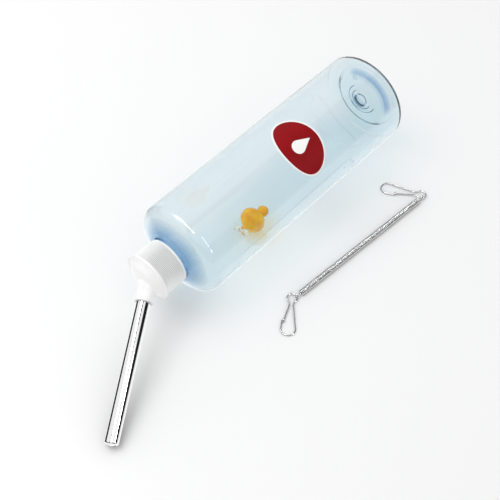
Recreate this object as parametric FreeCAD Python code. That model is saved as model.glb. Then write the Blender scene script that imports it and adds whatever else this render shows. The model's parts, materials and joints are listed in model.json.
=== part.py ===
import FreeCAD, Part
import math
import os

from FreeCAD import Vector

# A rabbit water bottle lying on its side, with its wire holder beside it. Millimetres.
# The parts are drawn about the bottle's own axis, +X from the spout to the base, and are then moved
# so that the origin is under the middle of the whole footprint and z = 0 is the surface it lies on.

# Bottle
BODY_R = 36.5
BASE_X = 230.0
WALL = 0.9
SHOULDER_R = 8.25
SHOULDER_SLOPE = 0.36
SHOULDER_X_AT_NECK = 13.9
HEEL_R = 4.7
FOOT_INNER_R = 26.0
PUNT_R = 22.0
PUNT_DEPTH = 2.7
PUNT_RISE = 2.6
NUB_R = 5.2
NUB_HEIGHT = 0.8
MARK_R = 1.9
MARK_RIM = 0.6
MARK_HEIGHT = 0.8
MARK_AT_R = 18.3
MARK_ANGLE = 30.0

# Neck, thread and screw cap
RIM_X = -4.0
NECK_R = 13.9
NECK_BORE_R = 12.4
THREAD_PITCH = 3.5
THREAD_TURNS = 1.5
THREAD_HEIGHT = 1.0
THREAD_FOOT = 1.3
THREAD_CREST = 0.7
NECK_THREAD_X = -2.4
CAP_EDGE_X = 13.2
CAP_TOP_X = -7.6
CAP_PLATE_X = -5.6
CAP_BORE_R = 15.25
CAP_SKIRT_R = 17.0
CAP_RIB_R = 17.45
CAP_RIBS = 112
CAP_EDGE_BAND = 1.4
FLANGE_R = 18.6
FLANGE_W = 1.8
WASHER_T = 1.5
WASHER_R = 14.6
WASHER_HOLE_R = 5.2
SMALL_GAP = 0.05

# Spout, drinking tube and balls
BEND = 35.5
ROLL = 28.5
ELBOW_X = -5.0
DOME_R = 15.6
DOME_DEPTH = 6.6
SPOUT_REACH = 19.6
SPOUT_R = 6.4
SPOUT_ROOT_R = 8.6
SPOUT_ROOT_AT = 7.0
COLLAR_R = 6.9
COLLAR_W = 2.2
PASSAGE_R = 3.4
TUBE_R = 4.75
TUBE_WALL = 0.5
TUBE_FROM = 6.0
TUBE_SEAT_R = 4.5
TIP_ROLL = 1.3
TIP_HOLE_R = 3.15
BALL_R = 3.97
BALL_GAP = 0.1

# Float
FLOAT_X = 92.0
FLOAT_SIDE = 13.7
FLOAT_R = 10.0
FLOAT_HALF_LENGTH = 7.9
FLOAT_FLAT_AT = 11.5
FLOAT_CLEARANCE = 0.3
HEAD_R = 4.3
HEAD_AT = 11.3
STEM_R = 1.4
STEM_END = -12.2
FOOT_LOBE_R = 2.5
FOOT_LOBE_AT = 3.7
FOOT_BAR_R = 1.3

# Label
LABEL_X = 132.0
LABEL_SIDE = 25.5
LABEL_HALF_X = 17.4
LABEL_HALF_Y = 23.2
LABEL_FILM = 0.13
LABEL_INK = 0.09
LABEL_BORDER = 1.3
DROP_R = 5.2
DROP_REACH = 12.0

# Wire holder: a close-wound spring with a snap clip on each end
COIL_R = 2.1
COIL_WIRE_R = 0.35
COIL_LENGTH = 126.9
COIL_START = (72.25, -70.85)
COIL_ANGLE = -4.48
RING_AT = 3.3
CLIP_WIRE_R = 0.45
CLIP_HOOK_Z = 1.45
EYE_R = 3.6
LOOP_R = 5.15
LOOP_AT = 26.0
NECK_AT = (5.3, 1.3)
EYE_OPENING = 35.0
GATE_END = (20.8, 4.1)
CATCH_AT = 19.8
CATCH_R = 1.15
CATCH_SWEEP = 120.0
LEFT_CLIP = {"heading": 215.0, "ring": -28.7, "gate": -1.0}
RIGHT_CLIP = {"heading": 117.6, "ring": 219.0, "gate": 1.0}

X = Vector(1, 0, 0)
Z = Vector(0, 0, 1)
O = Vector(0, 0, 0)


def unit(degrees):
    """Unit vector in the plane of the floor at this heading from +X."""
    a = math.radians(degrees)
    return Vector(math.cos(a), math.sin(a), 0)


# The spout leaves the bottle's axis by BEND degrees, rolled ROLL degrees below the horizontal.
_bend, _roll = math.radians(BEND), math.radians(ROLL)
SPOUT = Vector(-math.cos(_bend), -math.sin(_bend) * math.cos(_roll), -math.sin(_bend) * math.sin(_roll))
ELBOW = Vector(ELBOW_X, 0, 0)
# The straight part of the tube ends where its side meets the floor, BODY_R below the axis.
TUBE_REACH = (BODY_R - TUBE_R * math.sqrt(1 - SPOUT.z**2)) / -SPOUT.z
COIL_DIR = unit(COIL_ANGLE)


def ring_centre(side):
    """Middle of the spring's end ring, 'left' or 'right', COIL_R above the floor."""
    start = Vector(COIL_START[0], COIL_START[1], 0)
    along = -RING_AT if side == "left" else COIL_LENGTH + RING_AT
    return start + COIL_DIR * along + Z * COIL_R


def clip_placement(clip, side):
    """Where a clip's own frame (eye at the origin, loop along +X) lies on the floor.

    The eye hangs in the spring's ring at CLIP_HOOK_Z and the loop's end rests on the floor."""
    ring = ring_centre(side)
    eye = ring - unit(clip["ring"]) * EYE_R
    hook_u = EYE_R * math.cos(math.radians(clip["ring"] - clip["heading"]))
    tip_u = LOOP_AT + LOOP_R
    slope = math.asin((CLIP_HOOK_Z - CLIP_WIRE_R) / (tip_u - hook_u))
    eye.z = CLIP_HOOK_Z + hook_u * math.sin(slope)
    turn = FreeCAD.Rotation(Z, clip["heading"])
    tilt = FreeCAD.Rotation(Vector(0, 1, 0), math.degrees(slope))
    return FreeCAD.Placement(eye, turn.multiply(tilt))


# The footprint runs from the tube's tip to the base, and from the left clip's loop to the bottle's side.
_tip = ELBOW + SPOUT * (TUBE_REACH + TIP_ROLL)
_low_x = _tip.x - (TUBE_R - TIP_ROLL) * math.sin(_bend)
_loop = clip_placement(LEFT_CLIP, "left").multVec(Vector(LOOP_AT, 0, 0))
_low_y = _loop.y - LOOP_R - CLIP_WIRE_R
ORIGIN = Vector((_low_x + BASE_X) / 2, (_low_y + BODY_R) / 2, 0)


def arc(centre, r, start, end):
    """Arc edge in the XY plane, angles in degrees, through the middle angle."""
    points = []
    for a in (start, (start + end) / 2, end):
        points.append(centre + unit(a) * r)
    return Part.Arc(*points).toShape()


def line(a, b):
    return Part.makeLine(a, b)


def revolved(edges):
    """Solid from a closed outline of (x, radius) edges turned about the X axis."""
    return Part.Face(Part.Wire(edges)).revolve(O, X, 360)


def outline_of_points(points):
    corners = [Vector(x, r, 0) for x, r in points]
    return [line(a, b) for a, b in zip(corners, corners[1:] + corners[:1])]


def rod(start, direction, length, radius):
    return Part.makeCylinder(radius, length, start, direction)


def bottle_profile(inset):
    """Edges of the bottle's half section, drawn inset from the outer surface, from neck to base centre."""
    slope = math.atan(SHOULDER_SLOPE)
    r_body = BODY_R - inset
    shoulder_r = SHOULDER_R - inset
    heel_r = HEEL_R - inset
    neck_r = NECK_R if inset == 0 else NECK_BORE_R
    # The shoulder's cone, moved in along its normal, meets the neck and the corner's arc.
    cone_x = SHOULDER_X_AT_NECK + inset / math.cos(slope)
    centre_r = BODY_R - SHOULDER_R
    touch_r = centre_r + shoulder_r * math.sin(slope)
    touch_x = cone_x + SHOULDER_SLOPE * (touch_r - NECK_R)
    corner = Vector(touch_x + shoulder_r * math.cos(slope), centre_r, 0)
    heel = Vector(BASE_X - HEEL_R, BODY_R - HEEL_R, 0)
    neck_end = Vector(cone_x + SHOULDER_SLOPE * (neck_r - NECK_R), neck_r, 0)
    foot_in = Vector(BASE_X - inset, FOOT_INNER_R, 0)
    punt_edge = Vector(BASE_X - PUNT_DEPTH - inset, PUNT_R, 0)
    punt_mid = Vector(BASE_X - PUNT_DEPTH - PUNT_RISE * 0.6 - inset, (PUNT_R + NUB_R) / 2, 0)
    nub_foot = Vector(BASE_X - PUNT_DEPTH - PUNT_RISE - inset, NUB_R, 0)
    edges = [
        line(Vector(RIM_X, neck_r, 0), neck_end),
        line(neck_end, corner + unit(180 - math.degrees(slope)) * shoulder_r),
        arc(corner, shoulder_r, 180 - math.degrees(slope), 90),
        line(Vector(corner.x, r_body, 0), Vector(heel.x, r_body, 0)),
        arc(heel, heel_r, 90, 0),
        line(Vector(heel.x + heel_r, heel.y, 0), foot_in),
        line(foot_in, punt_edge),
        Part.Arc(punt_edge, punt_mid, nub_foot).toShape(),
        line(nub_foot, nub_foot + X * NUB_HEIGHT + Vector(0, -NUB_HEIGHT, 0)),
        line(nub_foot + X * NUB_HEIGHT + Vector(0, -NUB_HEIGHT, 0), Vector(nub_foot.x + NUB_HEIGHT, 0, 0)),
    ]
    return edges, Vector(nub_foot.x + NUB_HEIGHT, 0, 0), neck_r


def closed_solid(inset):
    """The bottle's outer shape, or with an inset the space inside it."""
    edges, centre, neck_r = bottle_profile(inset)
    edges.append(line(centre, Vector(RIM_X, 0, 0)))
    edges.append(line(Vector(RIM_X, 0, 0), Vector(RIM_X, neck_r, 0)))
    return revolved(edges)


def thread_ridge(root_r, height, first_x, turns):
    """A helical ridge about the X axis: outwards for a positive height, inwards for a negative one."""
    helix = Part.makeHelix(THREAD_PITCH, THREAD_PITCH * turns, root_r)
    sunk = -0.25 if height > 0 else 0.25
    foot, crest = THREAD_FOOT / 2, THREAD_CREST / 2
    corners = [
        Vector(root_r + sunk, 0, -foot),
        Vector(root_r + height, 0, -crest),
        Vector(root_r + height, 0, crest),
        Vector(root_r + sunk, 0, foot),
    ]
    profile = Part.Wire([line(a, b) for a, b in zip(corners, corners[1:] + corners[:1])])
    ridge = Part.Wire(helix).makePipeShell([profile], True, True)
    # The helix is drawn up +Z; turning +Z onto +X leaves it right-handed.
    ridge.rotate(O, Vector(0, 1, 0), 90)
    ridge.translate(X * first_x)
    return ridge


def bottle_shell():
    shell = closed_solid(0).cut(closed_solid(WALL))
    shell = shell.fuse(thread_ridge(NECK_R, THREAD_HEIGHT, NECK_THREAD_X, THREAD_TURNS))
    a = math.radians(MARK_ANGLE)
    mark_at = Vector(BASE_X - PUNT_DEPTH - 1.0, MARK_AT_R * math.sin(a), MARK_AT_R * math.cos(a))
    mark = rod(mark_at, X, MARK_HEIGHT, MARK_R).cut(rod(mark_at, X, MARK_HEIGHT, MARK_R - MARK_RIM))
    return shell.fuse(mark)


def oval_patch(inner_r, thickness, half_x, half_y):
    """A curved patch on the bottle's side with an oval edge."""
    start = LABEL_X - half_x - 1
    ring = rod(Vector(start, 0, 0), X, 2 * half_x + 2, inner_r + thickness)
    ring = ring.cut(rod(Vector(start - 1, 0, 0), X, 2 * half_x + 4, inner_r))
    centre = Vector(LABEL_X, 0, 0)
    wide = Vector(0, 1, 0)
    big, small, axis = (wide, half_y, half_x) if half_y > half_x else (X, half_x, half_y)
    ellipse = Part.Ellipse(centre + big * small, centre + (X if big is wide else wide) * axis, centre)
    prism = Part.Face(Part.Wire(ellipse.toShape())).extrude(Z * (BODY_R + 5))
    patch = ring.common(prism)
    patch.rotate(O, X, LABEL_SIDE)
    return patch


def drop_prism():
    """A water drop's outline pushed through the label: round end to the neck, point to the base."""
    centre = Vector(LABEL_X - 2.4, 0, 0)
    point = centre + X * DROP_REACH
    half = math.degrees(math.acos(DROP_R / DROP_REACH))
    round_end = arc(centre, DROP_R, half, 360 - half)
    upper = centre + unit(half) * DROP_R
    lower = centre + unit(-half) * DROP_R
    outline = Part.Wire([line(point, upper), round_end, line(lower, point)])
    prism = Part.Face(outline).extrude(Z * (BODY_R + 5))
    prism.rotate(O, X, LABEL_SIDE)
    return prism


def label_film():
    return oval_patch(BODY_R, LABEL_FILM, LABEL_HALF_X, LABEL_HALF_Y)


def label_print():
    inner_r = BODY_R + LABEL_FILM
    half_x, half_y = LABEL_HALF_X - LABEL_BORDER, LABEL_HALF_Y - LABEL_BORDER
    return oval_patch(inner_r, LABEL_INK, half_x, half_y).cut(drop_prism())


def sealing_washer():
    start = Vector(RIM_X - SMALL_GAP - WASHER_T, 0, 0)
    return rod(start, X, WASHER_T, WASHER_R).cut(rod(start, X, WASHER_T, WASHER_HOLE_R))


def ribbed_skirt():
    """The grip: a drum with straight ribs, from the flange to a plain band at the open edge."""
    step = 2 * math.pi / CAP_RIBS
    corners = []
    for i in range(CAP_RIBS):
        for part, radius in ((0.0, CAP_SKIRT_R), (0.25, CAP_RIB_R), (0.5, CAP_RIB_R), (0.75, CAP_SKIRT_R)):
            a = (i + part) * step
            corners.append(Vector(CAP_TOP_X, radius * math.cos(a), radius * math.sin(a)))
    outline = Part.makePolygon(corners + corners[:1])
    drum = Part.Face(outline).extrude(X * (CAP_EDGE_X - CAP_EDGE_BAND - CAP_TOP_X))
    band_x = CAP_EDGE_X - CAP_EDGE_BAND
    band = outline_of_points(
        [(band_x, 0), (band_x, CAP_RIB_R), (CAP_EDGE_X - 0.5, CAP_RIB_R - 0.1), (CAP_EDGE_X, CAP_SKIRT_R - 0.4),
         (CAP_EDGE_X, 0)]
    )
    return drum.fuse(revolved(band))


def cap_outside():
    flange = rod(Vector(CAP_TOP_X, 0, 0), X, FLANGE_W, FLANGE_R)
    flange = flange.makeFillet(0.5, [e for e in flange.Edges if isinstance(e.Curve, Part.Circle)])
    dome_end = CAP_TOP_X - DOME_DEPTH
    dome = revolved(
        [
            line(Vector(CAP_TOP_X, 0, 0), Vector(CAP_TOP_X, DOME_R, 0)),
            Part.Arc(
                Vector(CAP_TOP_X, DOME_R, 0),
                Vector(CAP_TOP_X - DOME_DEPTH * 0.62, DOME_R * 0.72, 0),
                Vector(dome_end, DOME_R * 0.2, 0),
            ).toShape(),
            line(Vector(dome_end, DOME_R * 0.2, 0), Vector(dome_end, 0, 0)),
            line(Vector(dome_end, 0, 0), Vector(CAP_TOP_X, 0, 0)),
        ]
    )
    root = ELBOW + SPOUT * SPOUT_ROOT_AT
    taper = Part.makeCone(SPOUT_ROOT_R, SPOUT_R, SPOUT_REACH - SPOUT_ROOT_AT, root, SPOUT)
    collar = rod(ELBOW + SPOUT * (SPOUT_REACH - COLLAR_W), SPOUT, COLLAR_W, COLLAR_R)
    collar = collar.makeFillet(0.5, [e for e in collar.Edges if isinstance(e.Curve, Part.Circle)])
    return ribbed_skirt().fuse([flange, dome, taper, collar])


def screw_cap():
    cap = cap_outside()
    cavity = rod(Vector(CAP_PLATE_X, 0, 0), X, CAP_EDGE_X - CAP_PLATE_X + 1, CAP_BORE_R)
    socket = rod(ELBOW + SPOUT * TUBE_FROM, SPOUT, SPOUT_REACH, TUBE_SEAT_R)
    passage = rod(ELBOW - SPOUT * 2, SPOUT, TUBE_FROM + 4, PASSAGE_R)
    cap = cap.cut(cavity).cut(socket).cut(passage)
    # The cap's ridge runs midway between the turns of the neck's ridge.
    ridge = thread_ridge(CAP_BORE_R, -THREAD_HEIGHT, NECK_THREAD_X + THREAD_PITCH / 2, THREAD_TURNS)
    return cap.fuse(ridge).removeSplitter()


def tube_frame():
    """Placement that carries +X from the elbow along the spout."""
    return FreeCAD.Placement(ELBOW, FreeCAD.Rotation(X, SPOUT))


def drink_tube():
    """The tube: its end pressed into the spout is a little narrower, and its tip is rolled in."""
    bore_r = TUBE_R - TUBE_WALL
    seat_end = SPOUT_REACH + SMALL_GAP
    bend_in = Vector(TUBE_REACH, TUBE_R - TIP_ROLL, 0)
    bend_inner = TIP_ROLL - TUBE_WALL
    lip_outer = Vector(TUBE_REACH + TIP_ROLL, TIP_HOLE_R, 0)
    lip_inner = Vector(TUBE_REACH + bend_inner, TIP_HOLE_R, 0)
    tube = revolved(
        [
            line(Vector(TUBE_FROM, bore_r, 0), Vector(TUBE_FROM, TUBE_SEAT_R, 0)),
            line(Vector(TUBE_FROM, TUBE_SEAT_R, 0), Vector(seat_end, TUBE_SEAT_R, 0)),
            line(Vector(seat_end, TUBE_SEAT_R, 0), Vector(seat_end, TUBE_R, 0)),
            line(Vector(seat_end, TUBE_R, 0), Vector(TUBE_REACH, TUBE_R, 0)),
            arc(bend_in, TIP_ROLL, 90, 0),
            line(Vector(TUBE_REACH + TIP_ROLL, TUBE_R - TIP_ROLL, 0), lip_outer),
            line(lip_outer, lip_inner),
            line(lip_inner, Vector(TUBE_REACH + bend_inner, TUBE_R - TIP_ROLL, 0)),
            arc(bend_in, bend_inner, 0, 90),
            line(Vector(TUBE_REACH, bore_r, 0), Vector(TUBE_FROM, bore_r, 0)),
        ]
    )
    tube.Placement = tube_frame()
    return tube


def ball_at():
    """Distance from the elbow at which the tip ball sits in the rolled lip, BALL_GAP short of it."""
    lip = TUBE_REACH + TIP_ROLL - TUBE_WALL
    return lip - math.sqrt((BALL_R + BALL_GAP) ** 2 - TIP_HOLE_R**2)


def tip_ball():
    return Part.makeSphere(BALL_R, ELBOW + SPOUT * ball_at())


def upper_ball():
    return Part.makeSphere(BALL_R, ELBOW + SPOUT * (ball_at() - 2 * BALL_R - BALL_GAP))


def float_frame():
    """Placement of the float: its keel side down the wall, +X along the bottle."""
    distance = BODY_R - WALL - FLOAT_R - FLOAT_CLEARANCE
    a = math.radians(FLOAT_SIDE)
    centre = Vector(FLOAT_X, -distance * math.sin(a), -distance * math.cos(a))
    return FreeCAD.Placement(centre, FreeCAD.Rotation(X, -FLOAT_SIDE))


def float_body():
    """A flattened ball, close to an ellipse turned about X, with a small flat at each end."""
    points = []
    for degrees in (FLOAT_FLAT_AT, 35, 60, 90, 120, 145, 180 - FLOAT_FLAT_AT):
        a = math.radians(degrees)
        points.append(Vector(-FLOAT_HALF_LENGTH * math.cos(a), FLOAT_R * math.sin(a), 0))
    start, end = Vector(points[0].x, 0, 0), Vector(points[-1].x, 0, 0)
    edges = [line(start, points[0])]
    for i in (0, 2, 4):
        edges.append(Part.Arc(*points[i : i + 3]).toShape())
    return revolved(edges + [line(points[-1], end), line(end, start)])


def float_head():
    return Part.makeSphere(HEAD_R, Vector(HEAD_AT, 0, 0)).cut(float_body())


def float_stem():
    """A short stem from the body to the foot."""
    reach = -STEM_END - FLOAT_HALF_LENGTH / 2
    return rod(Vector(STEM_END, 0, 0), X, reach, STEM_R).cut(float_body()).cut(float_foot())


def float_foot():
    """A clear twin-lobed foot across the end of the stem."""
    across = Vector(0, 1, 0)
    foot = rod(across * -FOOT_LOBE_AT, across, 2 * FOOT_LOBE_AT, FOOT_BAR_R)
    for side in (-1, 1):
        foot = foot.fuse(Part.makeSphere(FOOT_LOBE_R, across * side * FOOT_LOBE_AT))
    foot.translate(X * (STEM_END - FOOT_BAR_R * 0.5))
    return foot


def coil_frame():
    start = Vector(COIL_START[0], COIL_START[1], COIL_R)
    return FreeCAD.Placement(start, FreeCAD.Rotation(Z, COIL_ANGLE))


def spring_coil():
    """The close-wound coil: a sleeve whose outside is grooved between one turn and the next."""
    turns = round(COIL_LENGTH / (2 * COIL_WIRE_R))
    pitch = COIL_LENGTH / turns
    groove_r = COIL_R - COIL_WIRE_R * 0.6
    bore_r = COIL_R - 2 * COIL_WIRE_R
    points = [(0, bore_r)]
    for i in range(turns):
        points += [(i * pitch, groove_r), ((i + 0.3) * pitch, COIL_R), ((i + 0.7) * pitch, COIL_R)]
    points += [(COIL_LENGTH, groove_r), (COIL_LENGTH, bore_r)]
    return revolved(outline_of_points(points))


def end_hook():
    """The spring's end ring, standing upright just past the coil, +X outwards."""
    mean_r = COIL_R - COIL_WIRE_R
    centre = Vector(RING_AT, 0, 0)
    meet = 135.0
    ring = Part.makeTorus(mean_r, COIL_WIRE_R, centre, Vector(0, 1, 0))
    on_ring = centre + Vector(math.cos(math.radians(meet)), 0, math.sin(math.radians(meet))) * mean_r
    start = Vector(SMALL_GAP, 0, mean_r)
    run = on_ring - start
    neck = rod(start, run, run.Length, COIL_WIRE_R)
    return ring.fuse([neck, Part.makeSphere(COIL_WIRE_R, on_ring)])


def spring_hook(side):
    hook = end_hook()
    if side == "left":
        hook.rotate(O, Z, 180)
    else:
        hook.translate(X * COIL_LENGTH)
    hook.Placement = coil_frame().multiply(hook.Placement)
    return hook


def bent_wire(edges):
    """Round wire along a chain of edges, with rounded corners and ends."""
    pieces = []
    for edge in edges:
        start = edge.valueAt(edge.FirstParameter)
        direction = edge.tangentAt(edge.FirstParameter)
        profile = Part.Wire(Part.makeCircle(CLIP_WIRE_R, start, direction))
        pieces.append(Part.Wire(edge).makePipeShell([profile], True, False))
        pieces.append(Part.makeSphere(CLIP_WIRE_R, edge.valueAt(edge.LastParameter)))
    return pieces[0].fuse(pieces[1:])


def clip_wire(gate):
    """The clip's frame: catch, loop, far leg and eye in one bent wire. gate is the side of the gate, +-1."""
    loop_centre = Vector(LOOP_AT, 0, 0)
    neck = Vector(NECK_AT[0], NECK_AT[1], 0)
    to_loop = loop_centre - neck
    heading = math.degrees(math.atan2(to_loop.y, to_loop.x) + math.asin(LOOP_R / to_loop.Length))
    tangent = neck + unit(heading) * math.sqrt(to_loop.Length**2 - LOOP_R**2)
    catch = Vector(CATCH_AT, -(gate_line_y(CATCH_AT) + CATCH_R), 0)
    eye_end = Vector(NECK_AT[0], -NECK_AT[1], 0)
    eye_leaves = unit(-EYE_OPENING) * EYE_R
    short = eye_end - eye_leaves
    # The eye's wire stops just short of the gate's ball end.
    eye_end = eye_leaves + short * (1 - (CLIP_WIRE_R * 2 + 2 * SMALL_GAP) / short.Length)
    edges = [
        line(catch, Vector(LOOP_AT, -LOOP_R, 0)),
        arc(loop_centre, LOOP_R, -90, heading + 90),
        line(tangent, neck),
        line(neck, unit(EYE_OPENING) * EYE_R),
        arc(O, EYE_R, EYE_OPENING, 360 - EYE_OPENING),
        line(eye_leaves, eye_end),
    ]
    wire = bent_wire(edges).fuse([catch_hook(), Part.makeSphere(CLIP_WIRE_R, catch)])
    return side_of(wire, gate)


def gate_line_y(u):
    """How far from the clip's middle line the gate is at a distance u from the eye."""
    return NECK_AT[1] + (GATE_END[1] - NECK_AT[1]) * (u - NECK_AT[0]) / (GATE_END[0] - NECK_AT[0])


def catch_hook():
    """The frame wire's end, curled up and over the gate."""
    centre = Vector(CATCH_AT, -gate_line_y(CATCH_AT), 0)
    points = []
    for a in (180, 180 - CATCH_SWEEP / 2, 180 - CATCH_SWEEP):
        points.append(centre + Vector(0, math.cos(math.radians(a)), math.sin(math.radians(a))) * CATCH_R)
    return bent_wire([Part.Arc(*points).toShape()])


def clip_gate(gate):
    """The springy arm, from a ball end at the neck to its tip under the catch."""
    pivot = Vector(NECK_AT[0], -NECK_AT[1], 0)
    tip = Vector(GATE_END[0], -GATE_END[1], 0)
    arm = bent_wire([line(pivot, tip)]).fuse(Part.makeSphere(CLIP_WIRE_R, pivot))
    return side_of(arm, gate)


def side_of(shape, gate):
    """The wire is drawn with its gate on the -Y side; mirror it for the other hand."""
    return shape if gate < 0 else shape.mirror(O, Vector(0, 1, 0))


def placed(shape, placement):
    shape.Placement = placement.multiply(shape.Placement)
    return shape


def all_parts():
    """Every node by name. Those on the bottle's axis are BODY_R too low until they are raised."""
    on_axis = {
        "bottle_shell": bottle_shell(),
        "label_film": label_film(),
        "label_print": label_print(),
        "sealing_washer": sealing_washer(),
        "screw_cap": screw_cap(),
        "drink_tube": drink_tube(),
        "tip_ball": tip_ball(),
        "upper_ball": upper_ball(),
    }
    for name, make in (("body", float_body), ("head", float_head), ("stem", float_stem), ("foot", float_foot)):
        on_axis["float_" + name] = placed(make(), float_frame())
    for shape in on_axis.values():
        shape.translate(Z * BODY_R)
    on_floor = {"spring_coil": placed(spring_coil(), coil_frame())}
    for side, clip in (("left", LEFT_CLIP), ("right", RIGHT_CLIP)):
        where = clip_placement(clip, side)
        on_floor[side + "_spring_hook"] = spring_hook(side)
        on_floor[side + "_clip_wire"] = placed(clip_wire(clip["gate"]), where)
        on_floor[side + "_clip_gate"] = placed(clip_gate(clip["gate"]), where)
    return {**on_axis, **on_floor}


def main():
    os.makedirs("parts", exist_ok=True)
    for name, shape in all_parts().items():
        shape.translate(-ORIGIN)
        if not shape.isValid() or len(shape.Solids) != 1:
            print("check", name, "valid", shape.isValid(), "solids", len(shape.Solids))
        shape.exportStep("parts/%s.step" % name)
    print("origin", ORIGIN, "tube reach", round(TUBE_REACH, 2), "spout", SPOUT)


main()
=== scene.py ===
import json
import math

import bmesh
import bpy
from mathutils import Matrix, Vector


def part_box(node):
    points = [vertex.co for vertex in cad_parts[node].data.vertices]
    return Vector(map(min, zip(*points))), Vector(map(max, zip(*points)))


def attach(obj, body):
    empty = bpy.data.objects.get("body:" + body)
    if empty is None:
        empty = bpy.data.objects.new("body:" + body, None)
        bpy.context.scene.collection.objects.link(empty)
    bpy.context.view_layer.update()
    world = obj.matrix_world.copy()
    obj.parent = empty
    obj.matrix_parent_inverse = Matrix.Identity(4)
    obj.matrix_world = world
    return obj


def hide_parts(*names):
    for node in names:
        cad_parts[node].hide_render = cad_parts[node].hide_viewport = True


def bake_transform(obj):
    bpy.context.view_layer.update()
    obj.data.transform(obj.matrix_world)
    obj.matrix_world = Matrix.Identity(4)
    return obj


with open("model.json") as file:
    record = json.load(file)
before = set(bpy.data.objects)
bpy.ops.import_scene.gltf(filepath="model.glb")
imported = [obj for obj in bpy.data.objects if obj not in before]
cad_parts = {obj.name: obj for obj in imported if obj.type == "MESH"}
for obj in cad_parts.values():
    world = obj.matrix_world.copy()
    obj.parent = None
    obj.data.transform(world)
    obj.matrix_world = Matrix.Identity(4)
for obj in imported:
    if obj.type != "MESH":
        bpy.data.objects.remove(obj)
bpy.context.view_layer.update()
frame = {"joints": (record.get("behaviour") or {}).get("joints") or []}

# Lengths are in millimetres and angles in degrees, unless a comment says otherwise. x runs along the
# bottle's axis from inside its neck to its base, and ORIGIN is where x is 0.
MM = 0.001
BASE_X = 230.0
BODY_R = 36.5
WALL = 0.9
NECK_R = 13.9
NECK_WALL = 1.5
LABEL_X = 132.0
LABEL_SIDE = math.radians(25.5)
LABEL_HALF = (17.4, 23.2)
LABEL_BORDER = 1.3
TUBE_R = 4.75
TUBE_WALL = 0.5
TUBE_FROM = 12.0
TUBE_SEAT_R = 4.35
TUBE_ROLL = 1.3
TUBE_HOLE_R = 3.15
FLOAT_BODY = (7.9, 9.88)
FLOAT_HEAD_R = 4.3
FLOAT_HEAD_AT = 11.3
FOOT_TILT = -13.7
FOOT_REACH = 6.2
FOOT_LOBE_R = 2.5
FOOT_LOBE_AT = 3.7
FOOT_BAR_R = 1.3
COIL_LENGTH = 126.9
COIL_R = 2.1
COIL_WIRE_R = 0.35
CLIP_WIRE_R = 0.45
RING_AT = 3.3
EYE_R = 3.6
LOOP_R = 5.15
LOOP_AT = 26.0
NECK_AT = (5.3, 1.3)
GATE_TIP = (20.8, 4.1)
CATCH_AT = 19.8
CATCH_R = 1.15
# Which way each clip points on the floor, and 1 or -1 for its hand.
CLIP_HEADINGS = {"left": (215.0, -1.0), "right": (117.6, 1.0)}

RECORD_JOINTS = {j["name"]: j for j in frame["joints"]}


def bottle_origin():
    """Where x is 0 on the bottle's axis, in metres in the row frame."""
    low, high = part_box("sealing_washer")
    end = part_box("bottle_shell")[1].x
    return Vector((end - BASE_X * MM, (low.y + high.y) / 2, (low.z + high.z) / 2))


ORIGIN = bottle_origin()


# ---------------------------------------------------------------- meshes


def add_mesh(name, vertices, faces):
    mesh = bpy.data.meshes.new(name)
    mesh.from_pydata([tuple(v) for v in vertices], [], faces)
    mesh.validate()
    mesh.update()
    obj = bpy.data.objects.new(name, mesh)
    bpy.context.scene.collection.objects.link(obj)
    return obj


def shade(obj, smooth_deg):
    for polygon in obj.data.polygons:
        polygon.use_smooth = True
    obj.data.set_sharp_from_angle(angle=math.radians(smooth_deg))


def settle(obj, smooth_deg):
    """Joins the mesh's doubled points, turns its faces outwards and smooths it."""
    work = bmesh.new()
    work.from_mesh(obj.data)
    bmesh.ops.remove_doubles(work, verts=work.verts, dist=1e-7)
    bmesh.ops.recalc_face_normals(work, faces=work.faces)
    work.to_mesh(obj.data)
    work.free()
    shade(obj, smooth_deg)


def rounded(corners, steps=8):
    """A polyline through (x, r, fillet) corners, each rounded to its own fillet radius."""
    points = [Vector(corners[0][:2])]
    for before, here, after in zip(corners, corners[1:], corners[2:]):
        a, b, c = Vector(before[:2]), Vector(here[:2]), Vector(after[:2])
        radius = here[2]
        u, v = (a - b).normalized(), (c - b).normalized()
        half = math.acos(max(-1, min(1, u.dot(v)))) / 2
        if radius <= 0 or math.pi / 2 - half < 0.01:
            points.append(b)
            continue
        reach = radius / math.tan(half)
        centre = b + (u + v).normalized() * (radius / math.sin(half))
        start = (b + u * reach) - centre
        turn = start.angle_signed((b + v * reach) - centre)
        for i in range(steps + 1):
            spin = Matrix.Rotation(-turn * i / steps, 2)
            points.append(centre + spin @ start)
    points.append(Vector(corners[-1][:2]))
    return points


def turned(name, profile, segments, placement=None, smooth_deg=35.0):
    """A mesh from an (x, r) profile turned about X, in millimetres, placed in the row frame."""
    vertices, rings = [], []
    for x, r in profile:
        if r < 1e-4:
            rings.append([len(vertices)])
            vertices.append(Vector((x, 0, 0)))
            continue
        rings.append(list(range(len(vertices), len(vertices) + segments)))
        for i in range(segments):
            a = 2 * math.pi * i / segments
            vertices.append(Vector((x, r * math.cos(a), r * math.sin(a))))
    faces = []
    for one, two in zip(rings, rings[1:]):
        for i in range(segments):
            j = (i + 1) % segments
            if len(one) == 1 and len(two) == 1:
                continue
            if len(one) == 1:
                faces.append((one[0], two[j], two[i]))
            elif len(two) == 1:
                faces.append((one[i], one[j], two[0]))
            else:
                faces.append((one[i], one[j], two[j], two[i]))
    place = placement or Matrix.Translation(ORIGIN)
    obj = add_mesh(name, [place @ (v * MM) for v in vertices], faces)
    settle(obj, smooth_deg)
    return obj


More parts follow.
